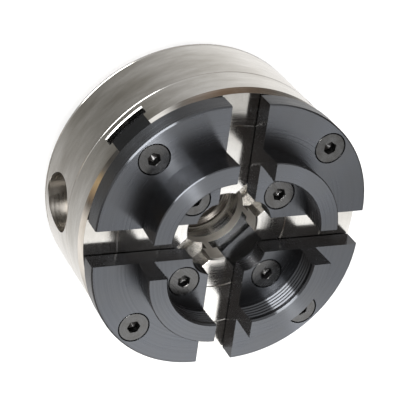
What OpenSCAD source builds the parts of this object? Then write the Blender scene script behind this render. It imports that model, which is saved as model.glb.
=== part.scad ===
// Geared four-jaw scroll chuck, lying on its back with the work-holding jaws up.
// Origin: centre of the spindle insert's rear register face. +Z: along the chuck's axis.

/* [Body] */
// Outside diameter of the body
body_d = 100; // [100:0.5:104]
// Thickness of the front body, from the parting line to the face
front_len = 14.6; // [14.5:0.1:15]
// Thickness of the rear housing
rear_len = 23.4; // [23.2:0.1:24]
// Thickness of the back plate
plate_t = 1.6; // [1.6:0.1:2.4]
// Radial width of the bevel around the front face
bevel_w = 1.0; // [0.5:0.1:1.2]
// Axial length of the bevel around the front face
bevel_len = 2.6; // [1:0.1:3]
// Radius of the open bore through the face
bore_r = 12.3; // [11.5:0.1:12.5]

/* [Jaw slots] */
// Half of the width of a slot's neck
neck_half = 6.7; // [6.3:0.1:6.9]
// Half of the width of a slot's wide part
wide_half = 7.9; // [7.7:0.1:8.2]
// Depth of a slot's neck below the face
neck_depth = 7.4; // [7:0.1:7.6]
// Depth of a slot's floor below the face
slot_depth = 11.6; // [11.5:0.1:11.8]

/* [Jaws] */
// Distance of each jaw from its closed place, at rest
jaw_open = 8.1; // [7.9:0.1:8.6]
// Outside radius of a jaw's base, about its own centre
jaw_r = 42.5; // [40:0.5:43]
// Radius of the centre hole that the closed jaws form
jaw_hole_r = 7.5; // [7.2:0.1:7.6]
// Half of the saw cut between closed jaws
kerf_half = 0.8; // [0.5:0.1:1.2]
// Gap between the face and the underside of the jaws
lift = 0.5; // [0.3:0.1:0.8]
// Thickness of a jaw's base
base_t = 7.23; // [7:0.01:8]
// Height of the gripping ring above a jaw's base
ring_h = 11.23; // [9:0.01:14]
// Number of ridges on the inner wall of the gripping ring
ring_ridges = 5; // [3:1:6]

/* [Jaw screws] */
// Distance of the inner jaw screw from the jaw's own centre
screw_in = 13.25; // [13.25:0.05:13.6]
// Distance of the outer jaw screw from the jaw's own centre
screw_out = 35.86; // [35:0.05:36.2]
// Radius of a jaw screw's thread
screw_r = 3.0; // [2.9:0.05:3]
// Radius of a jaw screw's countersunk head
head_r = 5.45; // [5.2:0.05:5.45]
// Length of a jaw screw, with its head
screw_len = 16; // [14:0.5:16.5]
// Width across flats of a jaw screw's hex socket
screw_af = 4; // [3:0.5:4]

/* [Scroll and pinions] */
// Pitch of the scroll
pitch = 5; // [5:0.1:5.1]
// Width of the scroll's ridge
ridge_w = 1.8; // [1.6:0.1:1.8]
// Height of the scroll's ridge
ridge_h = 3.0; // [2.6:0.1:3]
// Radius of the key hole's mouth
key_r = 10.2; // [9.8:0.05:10.3]
// Distance of the pinion's axis behind the face
pinion_depth = 25.3; // [25.2:0.1:25.4]
// Width across flats of the key socket in a pinion
key_af = 8; // [6:0.5:8]

/* [Spindle insert] */
// Thickness of the insert's hexagonal flange
flange_t = 6; // [5:0.1:8]
// Width across flats of the insert's hexagonal flange
flange_af = 36; // [34:0.5:40]
// Radius of the insert where it screws into the hub
insert_r = 15; // [14:0.1:15]
// Radius of the insert's threaded bore at its crests
thread_r = 10.95; // [8:0.05:11]

/* [Hidden] */

$fn = 96;
eps = 0.05;
run_gap = 0.1;
body_r = body_d / 2;

// Levels along the axis
z_back = flange_t;
z_plate = z_back + plate_t;
z_part = z_plate + rear_len;
z_face = z_part + front_len;
z_neck = z_face - neck_depth;
z_floor = z_face - slot_depth;
z_jaw = z_face + lift;
z_base = z_jaw + base_t;
z_ring = z_base + ring_h;
z_axis = z_face - pinion_depth;

// Hub of the front body, and the hollow for the slides' teeth
hub_r = 19.5;
hollow_r = 42;
channel_half = 4.2;
channel_in = 17.8;
tooth_half = 3.6;
tooth_w = 1.8;
teeth = 2;
hub_wall_z = 23;
joint_ease = 0.12;
joint_step = 0.35;
joint_gap = 0.22;
plate_step = 0.45;

// Scroll plate
scroll_in = 19.7;
scroll_out = 39.6;
scroll_top = z_floor - 3;
tooth_z = scroll_top + 0.4;
scroll_web = 2.6;
scroll_core_r = 29.4;
scroll_core_z = z_axis + 6.4;
ridge_start = scroll_out - 0.1 - ridge_w / 2;
ridge_end = 21.6;
ridge_sweep = (ridge_start - ridge_end) / pitch * 360;
ridge_steps = 204;

// Bevel gears: both pitch cones have their apex where the two axes meet
gear_teeth = 60;
pinion_teeth = 10;
gear_in = 30.2;
gear_out = 39.2;
gear_tall = 1.15;
gear_deep = 1.45;
tooth_flat = 0.82;
pressure = 20;
pinion_pitch_r = gear_out * pinion_teeth / gear_teeth;

// Pinion, along its own axis outwards
collar_in = 39.9;
collar_out = 43.4;
collar_r = 9.1;
bore_in = 29.8;
spigot_r = 3.9;
spigot_in = 23;
socket_depth = 5;
groove_in = 41.0;
groove_w = 1.8;
groove_r = 8.2;
key_ease = 0.35;
lock_r = 2;
lock_tip_r = 0.75;
lock_top = z_axis - key_r - 0.6;

// Screws through the body
body_screw_r = 2;
body_screw_head = 3.9;
body_screw_ring = 45.2;
body_screw_tip = z_part + 7;
body_screw_angles = [24, 90, 156, 204, 270, 336];

// Slides
slide_neck_half = neck_half - run_gap;
slide_wide_half = wide_half - run_gap;
slide_end_r = 49.85;
slide_wide_end = 46.5;
wide_start = 8.7;

// Jaws
ring_in_low = 20.94;
ring_in_high = 20.23;
ring_out_low = 26.48;
ring_out_high = 27.04;
lip = 0.6;
ridge_cut = 0.45;
head_gap = 0.15;
head_rim = 0.5;
jaw_angles = [45, 135, 225, 315];

function polar(r, a) = [r * cos(a), r * sin(a)];
function hex_r(af) = af / 2 / cos(30);

module ring(r_out, r_in, z0, z1) {
    difference() {
        translate([0, 0, z0]) cylinder(r = r_out, h = z1 - z0);
        translate([0, 0, z0 - eps]) cylinder(r = r_in, h = z1 - z0 + 2 * eps);
    }
}

module hole(r, z0, z1) {
    translate([0, 0, z0]) cylinder(r = r, h = z1 - z0);
}

// A cylinder from x0 to x1 along the +X or -X axis, at the pinions' level
module across(r, x0, x1, side = 1) {
    translate([side * x0, 0, z_axis]) rotate([0, side * 90, 0]) cylinder(r = r, h = x1 - x0);
}

// ---------- Front body ----------

module body_blank() {
    rotate_extrude() polygon([
        [0, z_part],
        [body_r - joint_step, z_part],
        [body_r - joint_step, z_part + joint_gap],
        [body_r, z_part + joint_gap],
        [body_r, z_face - bevel_len],
        [body_r - bevel_w, z_face],
        [0, z_face]
    ]);
}

module face_groove(r) {
    ring(r + 0.25, r - 0.25, z_face - 0.3, z_face + 1);
}

module jaw_slot() {
    translate([0, -neck_half, z_floor]) cube([body_d, 2 * neck_half, slot_depth + 1]);
    translate([0, -wide_half, z_floor]) cube([body_d, 2 * wide_half, z_neck - z_floor]);
    translate([channel_in, -channel_half, z_part])
        cube([hollow_r - 1 - channel_in, 2 * channel_half, slot_depth]);
}

module chuck_body() {
    color("gainsboro") difference() {
        union() {
            difference() {
                body_blank();
                ring(hollow_r, hub_r, z_part - 1, z_floor + 0.3);
            }
            hole(hub_r, z_back + 0.2, z_part + 1);
        }
        hole(bore_r, hub_wall_z - eps, z_face + 1);
        hole(insert_r + 0.05, 0, hub_wall_z);
        for (a = jaw_angles) rotate([0, 0, a]) jaw_slot();
        face_groove(23.0);
        face_groove(37.5);
        for (a = body_screw_angles) translate(concat(polar(body_screw_ring, a), [0]))
            hole(body_screw_r + 0.05, z_part - 1, body_screw_tip + 0.5);
    }
}

// ---------- Rear housing ----------

module key_bore(side) {
    across(key_r, collar_out + 0.1, body_r + 1, side);
    across(collar_r + run_gap, bore_in, collar_out + 1, side);
    across(spigot_r + run_gap, spigot_in - 0.3, bore_in + 1, side);
    translate([side * (body_r - key_ease), 0, z_axis]) rotate([0, side * 90, 0])
        cylinder(r1 = key_r, r2 = key_r + 2 * key_ease, h = 2 * key_ease);
    translate([side * (groove_in + groove_w / 2), 0, 0]) {
        hole(lock_r + 0.05, z_plate - 1, lock_top + 0.1);
        hole(lock_tip_r + run_gap, z_plate, z_axis - groove_r);
    }
}

module rear_housing() {
    color("silver") difference() {
        rotate_extrude() polygon([
            [hub_r + 0.1, z_plate],
            [body_r - plate_step, z_plate],
            [body_r - plate_step, z_plate + 0.25],
            [body_r, z_plate + 0.25],
            [body_r, z_part - joint_ease],
            [body_r - joint_ease, z_part],
            [scroll_out + 0.3, z_part],
            [scroll_out + 0.3, scroll_core_z - 3],
            [bore_in - 0.1, scroll_core_z - 3],
            [bore_in - 0.1, scroll_core_z - 1.3],
            [hub_r + 0.1, scroll_core_z - 1.3]
        ]);
        key_bore(1);
        key_bore(-1);
        for (a = body_screw_angles) translate(concat(polar(body_screw_ring, a), [0]))
            hole(body_screw_r + 0.05, z_plate - 1, z_part + 1);
    }
}

module back_plate() {
    color("gainsboro") difference() {
        rotate_extrude() polygon([
            [hub_r + 0.1, z_back],
            [body_r - 1.2, z_back],
            [body_r - 0.35, z_back + 0.35],
            [body_r, z_back + 1.2],
            [body_r, z_plate],
            [hub_r + 0.1, z_plate]
        ]);
        for (a = body_screw_angles) translate(concat(polar(body_screw_ring, a), [0])) {
            hole(body_screw_r + 0.05, z_back - 1, z_plate + 1);
            translate([0, 0, z_back - eps])
                cylinder(r1 = body_screw_head + 0.1, r2 = body_screw_head + 0.1 - plate_t, h = plate_t);
        }
    }
}

module body_screw() {
    head_t = plate_t - 0.1;
    difference() {
        union() {
            translate([0, 0, z_back + 0.05])
                cylinder(r1 = body_screw_head, r2 = body_screw_head - head_t, h = head_t);
            hole(body_screw_r, z_back + 0.5, body_screw_tip);
        }
        translate([0, 0, z_back - 1]) cylinder(r = hex_r(2.5), h = 3, $fn = 6);
    }
}

module body_screws() {
    color("darkgray") for (a = body_screw_angles)
        translate(concat(polar(body_screw_ring, a), [0])) body_screw();
}

// ---------- Scroll plate and its bevel ring gear ----------

// The ridge's centre line: one pitch inwards for each whole turn to the left
function ridge_r(a) = ridge_start - pitch * a / 360;
function ridge_side(off) = [
    for (i = [0:ridge_steps]) let (a = ridge_sweep * i / ridge_steps) polar(ridge_r(a) + off, a)
];
function back_to_front(list) = [for (i = [len(list) - 1:-1:0]) list[i]];

module scroll_ridge() {
    translate([0, 0, scroll_top - eps]) linear_extrude(height = ridge_h + eps)
        polygon(concat(ridge_side(ridge_w / 2), back_to_front(ridge_side(-ridge_w / 2))));
}

// One corner ring of a gear tooth at radius r, scaled about the apex of the pitch cone
function tooth_ring(r) = let (
    k = r / gear_out,
    pitch_z = z_axis + k * pinion_pitch_r,
    tip = (tooth_flat - gear_tall * tan(pressure)) * k,
    root = (tooth_flat + gear_deep * tan(pressure)) * k
) [
    [r, -root, pitch_z + gear_deep * k + 0.4],
    [r, -tip, pitch_z - gear_tall * k],
    [r, tip, pitch_z - gear_tall * k],
    [r, root, pitch_z + gear_deep * k + 0.4]
];

module gear_tooth() {
    polyhedron(
        points = concat(tooth_ring(gear_in), tooth_ring(gear_out)),
        faces = [[0, 1, 2, 3], [7, 6, 5, 4], [4, 5, 1, 0], [5, 6, 2, 1], [6, 7, 3, 2], [7, 4, 0, 3]]
    );
}

module scroll_plate() {
    web_z = scroll_top - scroll_web;
    in_k = gear_in / gear_out;
    root_out = z_axis + pinion_pitch_r + gear_deep;
    root_in = z_axis + (pinion_pitch_r + gear_deep) * in_k;
    color("slategray") {
        rotate_extrude() polygon([
            [scroll_in, scroll_core_z],
            [scroll_core_r, scroll_core_z],
            [gear_in, root_in],
            [gear_out, root_out],
            [scroll_out, web_z],
            [scroll_out, scroll_top],
            [scroll_in, scroll_top]
        ]);
        scroll_ridge();
        for (i = [0:gear_teeth - 1]) rotate([0, 0, i * 360 / gear_teeth]) gear_tooth();
    }
}

module thrust_washer() {
    color("goldenrod") ring(28.4, hub_r + 0.3, scroll_core_z - 1.3, scroll_core_z - 0.2);
}

// ---------- Pinions ----------

// One tooth of the pinion's end profile, at the wide end of its cone
function pinion_tooth(a) = [
    polar(pinion_pitch_r - gear_deep, a - 11.5),
    polar(pinion_pitch_r, a - 7.2),
    polar(pinion_pitch_r + gear_tall, a - 2.4),
    polar(pinion_pitch_r + gear_tall, a + 2.4),
    polar(pinion_pitch_r, a + 7.2),
    polar(pinion_pitch_r - gear_deep, a + 11.5)
];

module pinion() {
    step = 360 / pinion_teeth;
    translate([0, 0, z_axis]) rotate([0, 90, 0]) difference() {
        union() {
            translate([0, 0, gear_in]) linear_extrude(
                height = gear_out - gear_in,
                scale = gear_out / gear_in
            ) scale(gear_in / gear_out)
                polygon([for (i = [0:pinion_teeth - 1]) each pinion_tooth((i + 0.5) * step)]);
            hole(spigot_r, spigot_in, gear_in + 1);
            hole(pinion_pitch_r - gear_deep, gear_out - 1, collar_in + 0.5);
            hole(collar_r, collar_in, groove_in);
            hole(groove_r, groove_in - 0.5, groove_in + groove_w + 0.5);
            hole(collar_r, groove_in + groove_w, collar_out);
        }
        translate([0, 0, collar_out - socket_depth])
            cylinder(r = hex_r(key_af), h = socket_depth + 1, $fn = 6);
        translate([0, 0, collar_out - 0.8])
            cylinder(r1 = hex_r(key_af) - 0.3, r2 = hex_r(key_af) + 0.8, h = 1);
    }
}

module pinion_right() {
    color("dimgray") pinion();
}

module pinion_left() {
    color("dimgray") rotate([0, 0, 180]) pinion();
}

// A grub screw whose plain tip runs in the pinion's groove and keeps it in
module pinion_lock(side) {
    color("darkgray") translate([side * (groove_in + groove_w / 2), 0, 0]) difference() {
        union() {
            hole(lock_r, z_plate + 0.2, lock_top);
            hole(lock_tip_r, z_plate + 1, z_axis - groove_r - 0.2);
        }
        translate([0, 0, z_plate]) cylinder(r = hex_r(2), h = 1.6, $fn = 6);
    }
}

module pinion_lock_right() {
    pinion_lock(1);
}

module pinion_lock_left() {
    pinion_lock(-1);
}

// ---------- Jaw slides ----------

module place(k) {
    rotate([0, 0, jaw_angles[k - 1]]) translate([jaw_open, 0, 0]) children();
}

// Radius at rest of tooth n, counted inwards: the middle of a groove of the scroll
function tooth_r(k, n) = ridge_start + pitch / 2 - pitch * jaw_angles[k - 1] / 360 - pitch * n;

module slide_tooth(r) {
    intersection() {
        ring(r + tooth_w / 2, r - tooth_w / 2, tooth_z, z_floor + 1);
        translate([0, -tooth_half, 0]) cube([body_r, 2 * tooth_half, z_face]);
    }
}

module jaw_slide(k) {
    wide_z = z_floor + 0.3;
    color("darkslategray") union() {
        difference() {
            place(k) union() {
                translate([jaw_hole_r, -slide_neck_half, wide_z + 1])
                    cube([body_r, 2 * slide_neck_half, z_jaw - wide_z - 1]);
                translate([wide_start, -slide_wide_half, wide_z])
                    cube([slide_wide_end - jaw_open - wide_start, 2 * slide_wide_half, z_neck - run_gap - wide_z]);
            }
            ring(body_d, slide_end_r, wide_z - 1, z_jaw + 1);
            translate([0, 0, wide_z - eps]) ring(body_d, slide_wide_end, 0, z_neck - run_gap - wide_z);
            place(k) for (x = [screw_in, screw_out]) translate([x, 0, 0])
                hole(screw_r + 0.05, z_base - screw_len - 0.6, z_jaw + 1);
        }
        rotate([0, 0, jaw_angles[k - 1]]) for (n = [1:teeth]) slide_tooth(tooth_r(k, n));
    }
}

module jaw_slide_1() {
    jaw_slide(1);
}

module jaw_slide_2() {
    jaw_slide(2);
}

module jaw_slide_3() {
    jaw_slide(3);
}

module jaw_slide_4() {
    jaw_slide(4);
}

// ---------- Jaws ----------

// Inner wall of the gripping ring, from the base up: a dovetail with ridges, then the lip
function ring_in(t) = ring_in_low + (ring_in_high - ring_in_low) * t;
function ridge_points() = let (from = 0.18, to = 0.86, step = (to - from) / ring_ridges) [
    for (i = [0:ring_ridges - 1], j = [0, 1, 2])
        let (t = from + (i + j * 0.3) * step) [ring_in(t) + (j == 1 ? ridge_cut : 0), z_base + t * ring_h]
];

module jaw_profile() {
    rotate_extrude() polygon(concat(
        [
            [jaw_hole_r, z_jaw],
            [jaw_r, z_jaw],
            [jaw_r, z_base],
            [ring_out_low, z_base],
            [ring_out_high, z_ring - 0.3],
            [ring_out_high - 0.3, z_ring],
            [ring_in_high + lip, z_ring],
            [ring_in_high, z_ring - lip]
        ],
        back_to_front(ridge_points()),
        [[ring_in_low, z_base], [jaw_hole_r, z_base]]
    ));
}

module countersink() {
    cone_r = head_r + head_gap;
    hole(screw_r + 0.3, z_jaw - 1, z_base);
    translate([0, 0, z_base - head_rim - cone_r + screw_r])
        cylinder(r1 = screw_r, r2 = cone_r, h = cone_r - screw_r);
    hole(cone_r, z_base - head_rim - eps, z_base + 1);
}

module jaw(k) {
    color("dimgray") place(k) difference() {
        intersection() {
            jaw_profile();
            rotate([0, 0, -45]) translate([kerf_half, kerf_half, 0]) cube([body_d, body_d, body_d]);
        }
        for (x = [screw_in, screw_out]) translate([x, 0, 0]) countersink();
    }
}

module jaw_1() {
    jaw(1);
}

module jaw_2() {
    jaw(2);
}

module jaw_3() {
    jaw(3);
}

module jaw_4() {
    jaw(4);
}

module jaw_screw() {
    top = z_base - 0.1;
    cone_h = head_r - screw_r;
    difference() {
        union() {
            hole(screw_r, z_base - screw_len, top - head_rim);
            translate([0, 0, top - head_rim - cone_h]) cylinder(r1 = screw_r, r2 = head_r, h = cone_h);
            hole(head_r, top - head_rim, top);
        }
        translate([0, 0, top - 3]) cylinder(r = hex_r(screw_af), h = 4, $fn = 6);
    }
}

module jaw_screws(k) {
    color("gray") place(k) for (x = [screw_in, screw_out]) translate([x, 0, 0]) jaw_screw();
}

module jaw_screws_1() {
    jaw_screws(1);
}

module jaw_screws_2() {
    jaw_screws(2);
}

module jaw_screws_3() {
    jaw_screws(3);
}

module jaw_screws_4() {
    jaw_screws(4);
}

// ---------- Spindle insert ----------

module grub_hole(r) {
    translate([thread_r - 1, 0, flange_t / 2]) rotate([0, 90, 0]) cylinder(r = r, h = flange_af);
}

module spindle_insert() {
    color("lightslategray") difference() {
        union() {
            intersection() {
                rotate([0, 0, 30]) cylinder(r = hex_r(flange_af), h = flange_t, $fn = 6);
                cylinder(r1 = hex_r(flange_af) - 1.6, r2 = hex_r(flange_af) + flange_t - 1.6, h = flange_t);
            }
            hole(insert_r, flange_t - 1, hub_wall_z - 0.2);
        }
        hole(thread_r, -1, hub_wall_z + 1);
        translate([0, 0, -eps]) cylinder(r1 = thread_r + 1.2, r2 = thread_r, h = 1.2);
        grub_hole(2.5);
    }
}

module insert_grub_screw() {
    grub_in = thread_r + 0.7;
    grub_out = flange_af / 2 - 0.3;
    color("dimgray") translate([0, 0, flange_t / 2]) rotate([0, 90, 0]) difference() {
        hole(2.45, grub_in, grub_out);
        translate([0, 0, grub_out - 2.5]) cylinder(r = hex_r(2.5), h = 3, $fn = 6);
    }
}

chuck_body();
rear_housing();
back_plate();
body_screws();
scroll_plate();
thrust_washer();
pinion_left();
pinion_right();
pinion_lock_left();
pinion_lock_right();
jaw_slide_1();
jaw_slide_2();
jaw_slide_3();
jaw_slide_4();
jaw_1();
jaw_2();
jaw_3();
jaw_4();
jaw_screws_1();
jaw_screws_2();
jaw_screws_3();
jaw_screws_4();
spindle_insert();
insert_grub_screw();
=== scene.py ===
import math

import bpy
from mathutils import Matrix, Vector


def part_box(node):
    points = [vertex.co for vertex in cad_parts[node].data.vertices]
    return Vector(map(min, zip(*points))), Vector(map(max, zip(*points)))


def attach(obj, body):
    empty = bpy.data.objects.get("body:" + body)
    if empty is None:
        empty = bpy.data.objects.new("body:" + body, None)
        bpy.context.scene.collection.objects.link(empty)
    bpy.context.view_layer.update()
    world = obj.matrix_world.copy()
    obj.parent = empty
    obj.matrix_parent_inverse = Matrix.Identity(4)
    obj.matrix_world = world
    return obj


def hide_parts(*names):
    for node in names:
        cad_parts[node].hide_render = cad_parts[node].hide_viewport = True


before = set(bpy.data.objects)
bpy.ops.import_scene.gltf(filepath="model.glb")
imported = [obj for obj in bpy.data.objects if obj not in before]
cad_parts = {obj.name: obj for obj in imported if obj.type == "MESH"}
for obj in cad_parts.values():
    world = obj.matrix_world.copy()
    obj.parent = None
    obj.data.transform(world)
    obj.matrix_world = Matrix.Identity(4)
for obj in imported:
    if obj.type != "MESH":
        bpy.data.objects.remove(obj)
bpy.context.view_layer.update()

mm = 0.001


# Front body. A steel disc with a hub behind it, turned, bored and grooved on a lathe, with two T-slots
# milled right across it for the jaw slides, then plated in satin nickel. Its rim is eased by hand.
face_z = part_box("chuck_body")[1][2]
body_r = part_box("chuck_body")[1][0]
parting_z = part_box("rear_housing")[1][2]
slot_floor_z = face_z - 11.6 * mm
slot_step_z = face_z - 7.4 * mm
slot_neck = 6.7 * mm
slot_wide = 7.9 * mm
tooth_channel = 4.2 * mm
channel_start = 17.8 * mm
hub_r = 19.5 * mm
hollow_r = 42 * mm
bore_r = 12.3 * mm
insert_r = 15 * mm
insert_seat_z = 23 * mm
joint_step = 0.35 * mm
joint_gap = 0.22 * mm
floor_lip = 0.4 * mm


def edit_all(piece):
    """Opens a piece for editing with all of it selected."""
    bpy.ops.object.select_all(action="DESELECT")
    piece.select_set(True)
    bpy.context.view_layer.objects.active = piece
    bpy.ops.object.mode_set(mode="EDIT")
    bpy.ops.mesh.select_mode(type="VERT")
    bpy.ops.mesh.select_all(action="SELECT")


def done():
    """Leaves edit mode and returns the piece."""
    bpy.ops.object.mode_set(mode="OBJECT")
    return bpy.context.object


def outline(name, corners):
    """A flat face drawn corner by corner, each given as (radius, height), and left open for editing."""
    bpy.ops.object.select_all(action="DESELECT")
    first = corners[0]
    bpy.ops.mesh.primitive_plane_add(size=mm, location=(first[0], 0, first[1]))
    piece = bpy.context.object
    piece.name = name
    bpy.ops.object.transform_apply(location=True, rotation=True, scale=True)
    edit_all(piece)
    bpy.ops.mesh.merge(type="CENTER")
    for a, b in zip(corners, corners[1:]):
        bpy.ops.mesh.extrude_region_move(TRANSFORM_OT_translate={"value": (b[0] - a[0], 0, b[1] - a[1])})
    bpy.ops.mesh.select_all(action="SELECT")
    bpy.ops.mesh.edge_face_add()
    return piece


def turned(name, corners, sweep=360, steps=192):
    """A piece turned about the chuck's axis from an outline of (radius, height) corners."""
    outline(name, corners)
    if sweep == 360:
        bpy.ops.mesh.delete(type="ONLY_FACE")
        bpy.ops.mesh.select_all(action="SELECT")
    bpy.ops.mesh.spin(steps=steps, angle=math.radians(-sweep), center=(0, 0, 0), axis=(0, 0, 1))
    bpy.ops.mesh.select_all(action="SELECT")
    bpy.ops.mesh.remove_doubles(threshold=0.001 * mm)
    bpy.ops.mesh.normals_make_consistent(inside=False)
    return done()


def block(name, low, high):
    """A rectangular block between two corners."""
    bpy.ops.object.select_all(action="DESELECT")
    middle = (Vector(low) + Vector(high)) / 2
    bpy.ops.mesh.primitive_cube_add(size=1, location=middle)
    piece = bpy.context.object
    piece.name = name
    piece.scale = Vector(high) - Vector(low)
    bpy.ops.object.transform_apply(location=True, rotation=True, scale=True)
    return piece


def turn(piece, angle, about=(0, 0, 1), shift=(0, 0, 0)):
    """Turns a piece about an axis through the origin, then moves it, and keeps both in its mesh."""
    bpy.ops.object.select_all(action="DESELECT")
    piece.select_set(True)
    bpy.context.view_layer.objects.active = piece
    piece.rotation_euler = Matrix.Rotation(angle, 3, Vector(about)).to_euler()
    piece.location = shift
    bpy.ops.object.transform_apply(location=True, rotation=True, scale=True)
    return piece


def cut(piece, *cutters, operation="DIFFERENCE"):
    """Takes each cutter's shape out of the piece, and throws the cutter away."""
    for cutter in cutters:
        bpy.ops.object.select_all(action="DESELECT")
        bpy.context.view_layer.objects.active = piece
        piece.select_set(True)
        step = piece.modifiers.new("cut", "BOOLEAN")
        step.operation = operation
        step.solver = "EXACT"
        step.object = cutter
        bpy.ops.object.modifier_apply(modifier=step.name)
        bpy.data.objects.remove(cutter, do_unlink=True)
    return piece


def clean(piece):
    """Merges points that all but touch, and drops faces with no area."""
    edit_all(piece)
    bpy.ops.mesh.remove_doubles(threshold=0.004 * mm)
    bpy.ops.mesh.select_all(action="SELECT")
    bpy.ops.mesh.dissolve_degenerate(threshold=0.004 * mm)
    return done()


def ease(piece, width, segments=2, angle=28, smooth=12):
    """Breaks every sharp edge of a piece and smooths its curved faces."""
    edit_all(piece)
    bpy.ops.mesh.remove_doubles(threshold=0.01 * mm)
    bpy.ops.mesh.dissolve_limited(angle_limit=math.radians(0.4))
    bpy.ops.mesh.select_all(action="SELECT")
    bpy.ops.mesh.normals_make_consistent(inside=False)
    done()
    step = piece.modifiers.new("ease", "BEVEL")
    step.width = width
    step.segments = segments
    step.limit_method = "ANGLE"
    step.angle_limit = math.radians(angle)
    step.miter_outer = "MITER_ARC"
    bpy.ops.object.modifier_apply(modifier=step.name)
    clean(piece)
    bpy.ops.object.shade_smooth_by_angle(angle=math.radians(smooth))
    return piece


def stands_for(piece, node, body):
    """The piece is shown in place of a CAD node and moves with its body."""
    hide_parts(node)
    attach(piece, body)
    return piece


def shader(name):
    """A new material with its node tree and its main shader."""
    material = bpy.data.materials.new(name)
    material.use_nodes = True
    tree = material.node_tree
    return material, tree, tree.nodes["Principled BSDF"]


def new_node(tree, kind, inputs=None, **settings):
    """Adds a node, sets its options and fills or links its inputs."""
    made = tree.nodes.new(kind)
    for key, value in settings.items():
        setattr(made, key, value)
    for key, value in (inputs or {}).items():
        if isinstance(value, bpy.types.NodeSocket):
            tree.links.new(value, made.inputs[key])
        else:
            made.inputs[key].default_value = value
    return made


def turning_marks(tree, centre, axis, fineness):
    """Lines that change only with distance from an axis and along it, as a lathe tool leaves the metal."""
    place = new_node(tree, "ShaderNodeTexCoord").outputs["Object"]
    moved = new_node(tree, "ShaderNodeVectorMath", {0: place, 1: centre}, operation="SUBTRACT").outputs[0]
    parts = new_node(tree, "ShaderNodeSeparateXYZ", {0: moved}).outputs
    others = [parts[k] for k in range(3) if k != axis]
    flat = new_node(tree, "ShaderNodeCombineXYZ", {0: others[0], 1: others[1]}).outputs[0]
    radius = new_node(tree, "ShaderNodeVectorMath", {0: flat}, operation="LENGTH").outputs["Value"]
    pair = new_node(tree, "ShaderNodeCombineXYZ", {0: radius, 1: parts[axis]}).outputs[0]
    noise = new_node(
        tree, "ShaderNodeTexNoise", {"Vector": pair, "Scale": fineness, "Detail": 3.0, "Roughness": 0.6}
    )
    return noise.outputs["Fac"], place, moved


def spread(tree, value, low, high):
    """Maps a texture's middle range onto low to high."""
    return new_node(
        tree, "ShaderNodeMapRange",
        {"Value": value, "From Min": 0.3, "From Max": 0.7, "To Min": low, "To Max": high},
    ).outputs["Result"]


def bare_metal(name, colour, rough, marks=0.05, cloud=0.04, depth=0.004 * mm, centre=(0, 0, 0), axis=2,
               fineness=1800, tint=(0.94, 1.06), cloud_scale=60, streak=1, grain=0.7):
    """Metal with turning marks about an axis, a cloudy finish and a slight change of tint."""
    material, tree, main = shader(name)
    lines, place, moved = turning_marks(tree, centre, axis, fineness)
    stretched = new_node(tree, "ShaderNodeMapping", {0: place, 3: (1, 1, streak)}).outputs[0]
    clouds = new_node(
        tree, "ShaderNodeTexNoise",
        {"Vector": stretched, "Scale": cloud_scale, "Detail": 5.0, "Roughness": 0.55},
    ).outputs["Fac"]
    main.inputs["Metallic"].default_value = 1.0
    rough_lines = spread(tree, lines, rough - marks, rough + marks)
    rough_cloud = spread(tree, clouds, -cloud, cloud)
    roughness = new_node(tree, "ShaderNodeMath", {0: rough_lines, 1: rough_cloud}, operation="ADD")
    tree.links.new(roughness.outputs[0], main.inputs["Roughness"])
    low, high = tint
    dark = (colour[0] * low, colour[1] * low * 0.975, colour[2] * low * 0.93, 1)
    light = tuple(c * high for c in colour) + (1,)
    mixed = new_node(
        tree, "ShaderNodeMix",
        {0: spread(tree, clouds, 0, 1), 6: dark, 7: light}, data_type="RGBA",
    )
    tree.links.new(mixed.outputs[2], main.inputs["Base Color"])
    bump = new_node(tree, "ShaderNodeBump", {"Height": lines, "Strength": 0.35, "Distance": depth})
    tree.links.new(bump.outputs["Normal"], main.inputs["Normal"])
    spindle = tuple(1.0 if k == axis else 0.0 for k in range(3))
    circling = new_node(
        tree, "ShaderNodeVectorMath", {0: spindle, 1: moved}, operation="CROSS_PRODUCT"
    ).outputs[0]
    tangent = new_node(tree, "ShaderNodeVectorTransform", {0: circling}, vector_type="VECTOR",
                       convert_from="OBJECT", convert_to="WORLD").outputs[0]
    tree.links.new(tangent, main.inputs["Tangent"])
    main.inputs["Anisotropic"].default_value = grain
    main.inputs["Anisotropic Rotation"].default_value = 0.25
    return material


bore_ridges = []
for i in range(4):
    ridge_z = 30 * mm - 1.5 * mm * i
    bore_ridges += [(bore_r, ridge_z), (bore_r + 0.6 * mm, ridge_z - 0.7 * mm)]
front_body = turned("front_body", [
    (insert_r + 0.05 * mm, 6.2 * mm),
    (hub_r, 6.2 * mm),
    (hub_r, slot_floor_z + 0.3 * mm),
    (hollow_r, slot_floor_z + 0.3 * mm),
    (hollow_r, parting_z),
    (body_r - joint_step, parting_z),
    (body_r - joint_step, parting_z + joint_gap),
    (body_r, parting_z + joint_gap),
    (body_r, face_z - 2.6 * mm),
    (body_r - 1.0 * mm, face_z),
    (37.75 * mm, face_z),
    (37.75 * mm, face_z - 0.3 * mm),
    (37.25 * mm, face_z - 0.3 * mm),
    (37.25 * mm, face_z),
    (23.25 * mm, face_z),
    (23.25 * mm, face_z - 0.3 * mm),
    (22.75 * mm, face_z - 0.3 * mm),
    (22.75 * mm, face_z),
    (bore_r + 0.5 * mm, face_z),
    (bore_r, face_z - 0.5 * mm),
    *bore_ridges,
    (bore_r, 24 * mm),
    (bore_r, insert_seat_z),
    (insert_r + 0.05 * mm, insert_seat_z),
])
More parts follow.
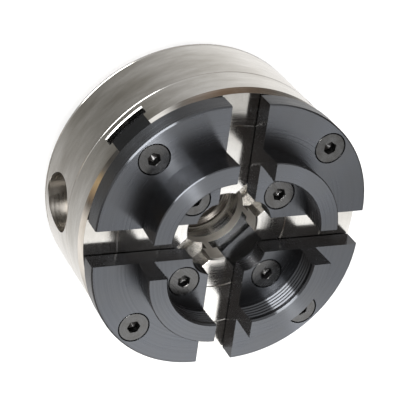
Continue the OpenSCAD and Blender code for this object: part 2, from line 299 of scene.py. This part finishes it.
for angle in (45, 135):
    lengths = (-60 * mm, 60 * mm)
    steps = [
        (slot_neck, slot_floor_z, face_z + mm, lengths),
        (slot_wide, slot_floor_z, slot_step_z, lengths),
        (tooth_channel, parting_z, slot_floor_z + mm, (channel_start, 22 * mm)),
        (tooth_channel, parting_z, slot_floor_z + mm, (-22 * mm, -channel_start)),
    ]
    for half, low_z, high_z, (start, end) in steps:
        cutter = block("slot_cutter", (start, -half, low_z), (end, half, high_z))
        cut(front_body, turn(cutter, math.radians(angle)))
lip_sweep = 2 * math.degrees(math.asin(slot_wide / body_r))
for angle in (45, 135, 225, 315):
    lip_cutter = turned("lip_cutter", [
        (body_r - floor_lip, slot_floor_z),
        (body_r + mm, slot_floor_z - floor_lip - mm),
        (body_r + mm, slot_floor_z + mm),
        (body_r - floor_lip, slot_floor_z + mm),
    ], sweep=lip_sweep, steps=10)
    cut(front_body, turn(lip_cutter, math.radians(angle - lip_sweep / 2)))
ease(front_body, 0.1 * mm)
nickel = bare_metal(
    "satin_nickel", (0.74, 0.728, 0.705), 0.17, cloud=0.06, tint=(0.7, 1.1), cloud_scale=48,
    streak=3.5, grain=0.6
)
front_body.data.materials.clear()
front_body.data.materials.append(nickel)
# The bore wall gets a lighter copy of the nickel. Its rougher bored finish is real; its lighter colour is a
# painted highlight standing in for the bright reflection inside the bore.
front_body.data.materials.append(bare_metal(
    "bored_nickel_painted_highlight", (0.92, 0.89, 0.84), 0.55, marks=0.2, depth=0.03 * mm, fineness=900, tint=(0.8, 1.05)
))
for face in front_body.data.polygons:
    if math.hypot(face.center.x, face.center.y) < bore_r + 0.2 * mm:
        face.material_index = 1
stands_for(front_body, "chuck_body", "body")


# Rear housing. A turned steel cup screwed on behind the front body, with a blind radial bore on each side
# for a pinion. The bores are chamfered at the mouth, and their walls keep the marks of the boring tool;
# their darker colour is painted shade inside the bores.
pinion_z = (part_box("pinion_right")[0][2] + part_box("pinion_right")[1][2]) / 2
housing_back_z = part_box("rear_housing")[0][2]
pinion_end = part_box("pinion_right")[1][0]
mouth_r = 10.2 * mm
mouth_ease = 0.35 * mm
pinion_bore_r = 9.2 * mm
bore_end = 29.8 * mm
core_z = pinion_z + 6.4 * mm
scroll_room = 39.9 * mm
screw_ring = 45.2 * mm
screw_angles = (24, 90, 156, 204, 270, 336)
body_screw_r = 2 * mm


def around(radius, angle, z):
    """A point at a radius and an angle in degrees about the chuck's axis."""
    return Vector((radius * math.cos(math.radians(angle)), radius * math.sin(math.radians(angle)), z))


def rod(name, low_r, high_r, start, end, sides=96):
    """A round or many-sided rod or cone between two points, for drilling and countersinking."""
    bpy.ops.object.select_all(action="DESELECT")
    start, end = Vector(start), Vector(end)
    bpy.ops.mesh.primitive_cone_add(
        vertices=sides, radius1=low_r, radius2=high_r,
        depth=(end - start).length, location=(start + end) / 2,
    )
    piece = bpy.context.object
    piece.name = name
    piece.rotation_euler = (end - start).to_track_quat("Z", "Y").to_euler()
    bpy.ops.object.transform_apply(location=True, rotation=True, scale=True)
    return piece


housing = turned("rear_housing_shell", [
    (hub_r + 0.1 * mm, housing_back_z),
    (body_r - 0.45 * mm, housing_back_z),
    (body_r - 0.45 * mm, housing_back_z + 0.4 * mm),
    (body_r, housing_back_z + 0.4 * mm),
    (body_r, parting_z - 0.3 * mm),
    (body_r - 0.3 * mm, parting_z),
    (scroll_room, parting_z),
    (scroll_room, core_z - 3 * mm),
    (bore_end - 0.1 * mm, core_z - 3 * mm),
    (bore_end - 0.1 * mm, core_z - 1.3 * mm),
    (hub_r + 0.1 * mm, core_z - 1.3 * mm),
])
ease(housing, 0.12 * mm)
for side in (-1, 1):
    mouth_cutter = turned("mouth_cutter", [
        (0, pinion_end + 0.1 * mm),
        (mouth_r, pinion_end + 0.1 * mm),
        (mouth_r, body_r - mouth_ease),
        (mouth_r + 2 * mouth_ease, body_r + mouth_ease),
        (0, body_r + mouth_ease),
    ], steps=128)
    cut(housing, turn(mouth_cutter, math.radians(90 * side), about=(0, 1, 0), shift=(0, 0, pinion_z)))
    bores = [
        (pinion_bore_r, pinion_bore_r, bore_end, pinion_end + mm),
        (4 * mm, 4 * mm, 22.7 * mm, bore_end + mm),
    ]
    for low_r, high_r, start, end in bores:
        low, high = (side * start, 0, pinion_z), (side * end, 0, pinion_z)
        cut(housing, rod("bore_cutter", low_r, high_r, low, high, sides=128))
for angle in screw_angles:
    drill = rod("drill", body_screw_r + 0.05 * mm, body_screw_r + 0.05 * mm,
                around(screw_ring, angle, 0), around(screw_ring, angle, 60 * mm), sides=32)
    cut(housing, drill)
clean(housing)
bpy.ops.object.shade_smooth_by_angle(angle=math.radians(12))
housing.data.materials.clear()
housing.data.materials.append(nickel)
# The key hole walls get a darker, warmer colour than the nickel: painted shade inside the holes. The boring
# marks and roughness are real.
housing.data.materials.append(bare_metal(
    "bored_steel_painted_shade", (0.5, 0.475, 0.44), 0.32, marks=0.06, depth=0.02 * mm, centre=(0, 0, pinion_z),
    axis=0, fineness=1500, tint=(0.6, 1.1), cloud_scale=180
))
for face in housing.data.polygons:
    across = math.hypot(face.center.y, face.center.z - pinion_z)
    inside = math.hypot(face.center.x, face.center.y) < body_r - 0.1 * mm
    if inside and across < mouth_r + 0.05 * mm and abs(face.center.x) > bore_end - 8 * mm:
        face.material_index = 1
stands_for(housing, "rear_housing", "body")


# Back plate. A thin turned disc that closes the housing behind, rounded at its rear edge, with six
# countersunk holes for the screws that hold the whole body together.
back_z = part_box("back_plate")[0][2]
screw_head_r = 3.9 * mm
back_plate = turned("back_plate_disc", [
    (hub_r + 0.1 * mm, back_z),
    (body_r - 1.2 * mm, back_z),
    (body_r - 0.8 * mm, back_z + 0.08 * mm),
    (body_r - 0.35 * mm, back_z + 0.35 * mm),
    (body_r - 0.08 * mm, back_z + 0.8 * mm),
    (body_r, back_z + 1.2 * mm),
    (body_r, housing_back_z - 0.25 * mm),
    (body_r - 0.25 * mm, housing_back_z),
    (hub_r + 0.1 * mm, housing_back_z),
])
for angle in screw_angles:
    low = around(screw_ring, angle, back_z - 0.05 * mm)
    high = around(screw_ring, angle, housing_back_z + 0.05 * mm)
    cut(back_plate, rod("countersink", screw_head_r + 0.1 * mm, body_screw_r + 0.4 * mm, low, high, sides=48))
ease(back_plate, 0.12 * mm)
back_plate.data.materials.clear()
back_plate.data.materials.append(nickel)
stands_for(back_plate, "back_plate", "body")


# Body screws. Six countersunk socket screws of blackened steel, put in from behind through the plate and
# the housing into the front body.
blackened = bare_metal("blackened_screw_steel", (0.16, 0.16, 0.162), 0.3, marks=0.08, tint=(0.88, 1.1))


def countersunk_screw(name, head_r, shank_r, head_z, tip_z, socket, rim, deep):
    """A countersunk screw on the chuck's axis. Its head's flat is at head_z and its tip at tip_z."""
    way = 1 if tip_z > head_z else -1
    cone = head_r - shank_r
    screw = turned(name, [
        (0, head_z),
        (head_r, head_z),
        (head_r, head_z + way * rim),
        (shank_r, head_z + way * (rim + cone)),
        (shank_r, tip_z - way * 0.5 * mm),
        (shank_r - 0.5 * mm, tip_z),
        (0, tip_z),
    ], steps=64)
    corner_r = socket / 2 / math.cos(math.radians(30))
    above, floor = head_z - way * mm, head_z + way * deep
    cut(screw, rod("hex_punch", corner_r, corner_r, (0, 0, above), (0, 0, floor), sides=6))
    cut(screw, rod("drill_point", corner_r * 0.86, 0.1 * mm, (0, 0, floor - way * 0.01 * mm),
                   (0, 0, floor + way * 0.5 * mm), sides=24))
    return ease(screw, min(0.1 * mm, rim / 4))


def copied(piece, name, angle, shift=(0, 0, 0)):
    """A copy with its own mesh, turned about the chuck's axis and moved."""
    twin = piece.copy()
    twin.data = piece.data.copy()
    twin.name = name
    bpy.context.collection.objects.link(twin)
    return turn(twin, angle, shift=shift)


def joined(pieces, name):
    """Several pieces made one."""
    bpy.ops.object.select_all(action="DESELECT")
    for piece in pieces:
        piece.select_set(True)
    bpy.context.view_layer.objects.active = pieces[0]
    bpy.ops.object.join()
    pieces[0].name = name
    return pieces[0]


tip_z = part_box("body_screws")[1][2]
pattern = countersunk_screw(
    "body_screw", screw_head_r, body_screw_r, back_z + 0.05 * mm, tip_z, 2.5 * mm, 0.1 * mm, 1.4 * mm
)
pattern.data.materials.clear()
pattern.data.materials.append(blackened)
body_screws = joined([
    copied(pattern, "screw", math.radians(angle), around(screw_ring, angle, 0)) for angle in screw_angles
], "body_screw_set")
bpy.data.objects.remove(pattern, do_unlink=True)
stands_for(body_screws, "body_screws", "body")


# Jaws. Four quarters of one turned ring: a thick base plate with a tall dovetail ring on it, ridged inside
# to grip a tenon. The ring is bored, countersunk and sawn in four, then blackened in hot oxide and oiled.
jaw_low_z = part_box("jaw_1")[0][2]
jaw_high_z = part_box("jaw_1")[1][2]
base_z = jaw_low_z + 7.23 * mm
jaw_open = 8.1 * mm
jaw_angles = (45, 135, 225, 315)
jaw_r = 42.5 * mm
jaw_hole_r = 7.5 * mm
half_kerf = 0.8 * mm
inner_low, inner_high = 20.94 * mm, 20.23 * mm
outer_low, outer_high = 26.48 * mm, 27.04 * mm
lip = 0.6 * mm
ridges = 5
ridge_cut = 0.45 * mm
bored_ridges = 5
jaw_edge = 0.45 * mm
screw_places = (13.25 * mm, 35.86 * mm)
head_r = 5.2 * mm
shank_r = 3 * mm
gap_r = 5.6 * mm
head_rim = 0.5 * mm


def ridged_wall():
    """The ring's inner wall from the lip down: an undercut with V grooves."""
    corners = []
    span = (0.86 - 0.18) / ridges
    for i in reversed(range(ridges)):
        for part, depth in ((0.6, 0), (0.3, ridge_cut), (0, 0)):
            height = 0.18 + (i + part) * span
            radius = inner_low + (inner_high - inner_low) * height + depth
            corners.append((radius, base_z + height * (jaw_high_z - base_z)))
    return corners


def turned_hole():
    """The quarter hole's wall from the top down, with the shallow ridges of the boring tool."""
    pitch = (base_z - jaw_low_z - mm) / bored_ridges
    tops = [base_z - 0.5 * mm - i * pitch for i in range(bored_ridges)]
    return [(jaw_hole_r + depth, z - part * pitch) for z in tops
            for part, depth in ((0, 0), (0.5, 0.14 * mm))]


def jaw_pattern():
    """One jaw about its own centre, between the X and Y axes."""
    jaw = turned("jaw_pattern", [
        (jaw_hole_r, jaw_low_z),
        (jaw_r, jaw_low_z),
        (jaw_r, base_z - jaw_edge),
        (jaw_r - jaw_edge, base_z),
        (outer_low, base_z),
        (outer_high, jaw_high_z - 0.3 * mm),
        (outer_high - 0.3 * mm, jaw_high_z),
        (inner_high + lip, jaw_high_z),
        (inner_high, jaw_high_z - lip),
        *ridged_wall(),
        (inner_low, base_z),
        (jaw_hole_r, base_z),
        *turned_hole(),
    ], sweep=90, steps=56)
    for side in ((1, 0, 0), (0, 1, 0)):
        edit_all(jaw)
        bpy.ops.mesh.bisect(
            plane_co=Vector(side) * half_kerf, plane_no=side, clear_inner=True, use_fill=True
        )
        done()
    for place in screw_places:
        spot = around(place, 45, 0)
        low, mid, high = (spot + Vector((0, 0, z)) for z in (
            base_z - head_rim - gap_r + shank_r, base_z - head_rim, base_z + mm))
        under, hole_r = spot + Vector((0, 0, 40 * mm)), shank_r + 0.3 * mm
        cut(jaw,
            rod("clearance_drill", hole_r, hole_r, under, high, 64),
            rod("countersink", shank_r, gap_r, low, mid, 96),
            rod("head_recess", gap_r, gap_r, mid - Vector((0, 0, 0.01 * mm)), high, 96))
    return ease(jaw, 0.05 * mm)


def black_oxide(name, rgb, rough, centre=(0, 0, 0), grain=0.9):
    """Blued-black oxide on steel, turned about a centre."""
    return bare_metal(name, rgb, rough, marks=0.04, cloud=0.03, depth=0.002 * mm, centre=centre,
                      fineness=1500, tint=(0.93, 1.05), cloud_scale=90, grain=grain)


pattern = jaw_pattern()
for number, angle in enumerate(jaw_angles, 1):
    centre = around(jaw_open, angle, 0)
    jaw = copied(pattern, f"quarter_jaw_{number}", math.radians(angle - 45), centre)
    jaw.data.materials.clear()
    oxide = black_oxide(f"jaw_oxide_{number}", (0.127, 0.134, 0.148), 0.24, tuple(centre), grain=1)
    jaw.data.materials.append(oxide)
    stands_for(jaw, f"jaw_{number}", f"slide_{number}")
bpy.data.objects.remove(pattern, do_unlink=True)


# Jaw screws. Two countersunk M6 socket screws in each jaw, of dark steel, turned on the head and drilled
# before the hexagon is punched.
head_z = base_z - 0.1 * mm
screw_tip_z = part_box("jaw_screws_1")[0][2]
pattern = countersunk_screw("jaw_screw", head_r, shank_r, head_z, screw_tip_z, 4 * mm, head_rim, 3 * mm)
for number, angle in enumerate(jaw_angles, 1):
    pair = joined([
        copied(pattern, "screw", math.radians(20 * number + 35 * k), around(jaw_open + place, angle, 0))
        for k, place in enumerate(screw_places)
    ], f"jaw_screw_pair_{number}")
    pair.data.materials.clear()
    pair.data.materials.append(bare_metal(
        f"screw_head_{number}", (0.11, 0.11, 0.111), 0.26, marks=0.06, cloud=0.06, tint=(0.75, 1.1),
        cloud_scale=500, centre=tuple(around(jaw_open + screw_places[1], angle, 0)), grain=0.4
    ))
    stands_for(pair, f"jaw_screws_{number}", f"slide_{number}")
bpy.data.objects.remove(pattern, do_unlink=True)


# Jaw slides. Ground steel bars of T section that run in the body's slots, with teeth underneath for the
# scroll and two tapped holes for a jaw. They are blackened like the jaws, in a darker colour that is
# painted shade under the jaws and in the slots.
def refined(node, name, width, body, material):
    """A copy of a CAD node with its edges broken, shown in the node's place."""
    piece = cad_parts[node].copy()
    piece.data = piece.data.copy()
    piece.name = name
    piece.parent = None
    piece.matrix_world = Matrix.Identity(4)
    bpy.context.collection.objects.link(piece)
    ease(piece, width)
    piece.data.materials.clear()
    piece.data.materials.append(material)
    return stands_for(piece, node, body)


# The slides' oxide is coloured darker than the jaws': painted shade where they sit under the jaws and in the
# slots.
slide_oxide_painted_shade = black_oxide("slide_oxide_painted_shade", (0.075, 0.08, 0.09), 0.22, grain=0.3)
for number in range(1, 5):
    slide = f"slide_{number}"
    refined(f"jaw_slide_{number}", f"slide_bar_{number}", 0.12 * mm, slide, slide_oxide_painted_shade)


# Scroll plate, pinions, washer and grub screws. Hardened and oiled working parts inside the body; the
# pinions' key sockets show at the bottom of the key holes.
gear_steel = bare_metal("gear_steel", (0.42, 0.415, 0.4), 0.3, marks=0.08)
pinion_steel = bare_metal(
    "pinion_steel", (0.36, 0.355, 0.345), 0.28, marks=0.08, centre=(0, 0, pinion_z), axis=0
)
bronze = bare_metal("turned_bronze", (0.72, 0.5, 0.26), 0.3)
for node, material in {
    "scroll_plate": gear_steel,
    "pinion_left": pinion_steel,
    "pinion_right": pinion_steel,
    "thrust_washer": bronze,
    "pinion_lock_left": blackened,
    "pinion_lock_right": blackened,
    "insert_grub_screw": blackened,
}.items():
    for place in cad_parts[node].material_slots:
        place.material = material


# Spindle insert. A steel bush with a hexagonal flange that screws into the hub from behind. It is bored
# and threaded right through for the lathe's spindle, and a grub screw in the flange locks it there.
insert_top_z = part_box("spindle_insert")[1][2]
flange_top_z = back_z
flange_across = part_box("spindle_insert")[1][0] * 2
flange_r = 20.6 * mm
crest_r = 10.95 * mm
root_r = 12.7 * mm
pitch = 25.4 / 8 * mm
insert = turned("threaded_insert", [
    (root_r + 0.3 * mm, 0),
    (flange_r, 0),
    (flange_r, flange_top_z),
    (insert_r, flange_top_z),
    (insert_r, insert_top_z),
    (root_r, insert_top_z),
    (root_r, 0.3 * mm),
])
hexagon_r = flange_across / 2 / math.cos(math.radians(30))
hexagon = rod("hexagon", hexagon_r, hexagon_r, (0, 0, -mm), (0, 0, 40 * mm), sides=6)
cut(insert, turn(hexagon, math.radians(30)), operation="INTERSECT")
grub_z, grub_r = flange_top_z / 2, 2.5 * mm
cut(insert, rod("grub_hole", grub_r, grub_r, (8 * mm, 0, grub_z), (30 * mm, 0, grub_z), sides=48))
ease(insert, 0.25 * mm)

start_z = 0.6 * mm
turns = 6
outline("spindle_thread", [
    (root_r + 0.4 * mm, start_z),
    (root_r + 0.4 * mm, start_z + 0.94 * pitch),
    (crest_r, start_z + 0.56 * pitch),
    (crest_r, start_z + 0.38 * pitch),
])
thread = done()
winding = thread.modifiers.new("winding", "SCREW")
winding.axis = "Z"
winding.steps = 64
winding.render_steps = 64
winding.iterations = turns
winding.screw_offset = pitch
winding.use_merge_vertices = True
winding.merge_threshold = 0.0001 * mm
bpy.ops.object.modifier_apply(modifier=winding.name)
edit_all(thread)
bpy.ops.mesh.remove_doubles(threshold=0.001 * mm)
bpy.ops.mesh.select_all(action="DESELECT")
bpy.ops.mesh.select_non_manifold(extend=False)
bpy.ops.mesh.edge_face_add()
bpy.ops.mesh.select_all(action="SELECT")
bpy.ops.mesh.normals_make_consistent(inside=False)
done()
bpy.ops.object.shade_smooth_by_angle(angle=math.radians(30))
insert = joined([insert, thread], "threaded_insert")
insert.data.materials.clear()
insert.data.materials.append(
    bare_metal("insert_steel", (0.34, 0.32, 0.295), 0.26, marks=0.08, tint=(0.7, 1.1))
)
stands_for(insert, "spindle_insert", "body")


# Studio. A plain white floor, a soft white room, a large soft lamp above the camera and a small one over
# the chuck. The room has darker sides, which polished metal shows as its dark bands.
bpy.ops.mesh.primitive_plane_add(size=6, location=(0, 0, -0.2 * mm))
floor = bpy.context.object
floor.name = "floor"
white, tree, main = shader("white_floor")
main.inputs["Base Color"].default_value = (0.9, 0.9, 0.9, 1)
main.inputs["Roughness"].default_value = 0.9
main.inputs["Specular IOR Level"].default_value = 0.1
floor.data.materials.append(white)
floor.visible_glossy = False

room = bpy.data.worlds.new("soft_room")
bpy.context.scene.world = room
room.use_nodes = True
tree = room.node_tree
tree.nodes.clear()
way = new_node(tree, "ShaderNodeTexCoord").outputs["Generated"]
parts = new_node(tree, "ShaderNodeSeparateXYZ", {0: way}).outputs


def level_ramp(value, low, high, stops):
    """Turns a value between low and high into a colour, by stops of (value, red, green, blue)."""
    scaled = new_node(tree, "ShaderNodeMapRange", {"Value": value, "From Min": low, "From Max": high})
    ramp = new_node(tree, "ShaderNodeValToRGB", {0: scaled.outputs["Result"]})
    while len(ramp.color_ramp.elements) < len(stops):
        ramp.color_ramp.elements.new(0.5)
    for element, (at, *colour) in zip(ramp.color_ramp.elements, stops):
        element.position = (at - low) / (high - low)
        element.color = (*colour, 1)
    return ramp.outputs["Color"]


def toward(azimuth, elevation):
    """How nearly a view of the room points one way, from -1 to 1."""
    flat = math.cos(math.radians(elevation))
    aim = (flat * math.cos(math.radians(azimuth)), flat * math.sin(math.radians(azimuth)),
           math.sin(math.radians(elevation)))
    return new_node(tree, "ShaderNodeVectorMath", {0: way, 1: aim}, operation="DOT_PRODUCT").outputs["Value"]


def blended(value, start, end, below, above):
    """Goes from one colour to another as a value rises from start to end."""
    share = new_node(tree, "ShaderNodeMapRange", {"Value": value, "From Min": start, "From Max": end},
                     interpolation_type="SMOOTHSTEP").outputs["Result"]
    return new_node(tree, "ShaderNodeMix", {0: share, 6: below, 7: above}, data_type="RGBA").outputs[2]


def grey(value):
    """A neutral tone."""
    return (value, value, value)


table_light = level_ramp(toward(145, 0), -1, 1, [
    (-0.4, 0.9, 0.885, 0.865), (0.02, 0.6, 0.59, 0.575), (0.33, 0.37, 0.362, 0.35),
    (0.456, 0.25, 0.242, 0.225), (0.544, 0.17, 0.163, 0.15), (0.6, 0.1, 0.097, 0.09), (1.0, 0.1, 0.097, 0.09),
])
whole_turn = math.radians(360)
bearing = new_node(tree, "ShaderNodeMath", {0: parts[1], 1: parts[0]}, operation="ARCTAN2").outputs[0]
bearing = new_node(tree, "ShaderNodeMath", {0: bearing, 1: whole_turn}, operation="ADD").outputs[0]
bearing = new_node(tree, "ShaderNodeMath", {0: bearing, 1: whole_turn}, operation="MODULO").outputs[0]
walls = level_ramp(bearing, 0, whole_turn, [
    (math.radians(azimuth), *colour) for azimuth, *colour in (
        (30, 0.09, 0.085, 0.08), (75, 0.2, 0.14, 0.1), (105, 0.16, 0.15, 0.14), (116, *grey(1.1)),
        (124, *grey(1.1)), (131, 0.05, 0.055, 0.06), (160, 0.08, 0.075, 0.07), (166, 0.18, 0.165, 0.15),
        (174, 0.55, 0.4, 0.22), (182, 0.32, 0.23, 0.145), (189, 0.06, 0.05, 0.04),
        (200, 0.9, 0.84, 0.78), (235, 1.1, 1.05, 1.0), (255, 0.3, 0.29, 0.28), (330, 0.12, 0.1, 0.09),
    )
])
sky = level_ramp(toward(-62, 38), -1, 1, [
    (-0.1, *grey(0.6)), (0.2, 0.09, 0.075, 0.065), (0.5, 0.09, 0.075, 0.065), (0.72, 0.13, 0.105, 0.09),
    (0.88, *grey(0.3)), (0.93, *grey(0.62)), (0.955, *grey(1.15)), (0.975, *grey(2.1)), (1, *grey(2.5)),
])
seen = blended(parts[2], -0.65, -0.45, table_light, blended(parts[2], -0.1, 0.2, walls, sky))
mirror_light = new_node(tree, "ShaderNodeBackground", {"Color": seen, "Strength": 1.15})
soft_light = new_node(tree, "ShaderNodeBackground", {"Color": (1, 1, 1, 1), "Strength": 1.35})
glossy = new_node(tree, "ShaderNodeLightPath").outputs["Is Glossy Ray"]
both = new_node(
    tree, "ShaderNodeMixShader", {0: glossy, 1: soft_light.outputs[0], 2: mirror_light.outputs[0]}
)
new_node(tree, "ShaderNodeOutputWorld", {0: both.outputs[0]})


def soft_lamp(name, place, aim, size, power):
    """A square area lamp that points at a spot."""
    bpy.ops.object.light_add(type="AREA", location=place)
    lamp = bpy.context.object
    lamp.name = name
    lamp.data.size = size
    lamp.data.energy = power
    lamp.rotation_euler = (Vector(aim) - Vector(place)).to_track_quat("-Z", "Y").to_euler()
    return lamp


target = Vector((0, 0, face_z))
soft_lamp("key_lamp", (-0.42, 0.5, 0.42), target, 0.5, 5)
soft_lamp("top_lamp", (-0.037, 0.042, 0.85), target, 0.08, 1.8)

# Camera. It looks down on the jaws from one side, rolled so that the chuck's axis points down to the right.
camera_place = Vector((-0.2100, 0.2453, 0.4616))
camera_aim = Vector((-0.0097, 0.0110, face_z))
camera_roll = math.radians(141.17)
bpy.ops.object.camera_add(location=camera_place)
camera = bpy.context.object
looking = (camera_aim - camera_place).to_track_quat("-Z", "Y").to_matrix()
camera.rotation_euler = (looking @ Matrix.Rotation(camera_roll, 3, "Z")).to_euler()
camera.data.lens = 141.7
camera.data.sensor_width = 36
camera.data.clip_start = 0.01
bpy.context.scene.camera = camera
bpy.context.scene.view_settings.view_transform = "Standard"
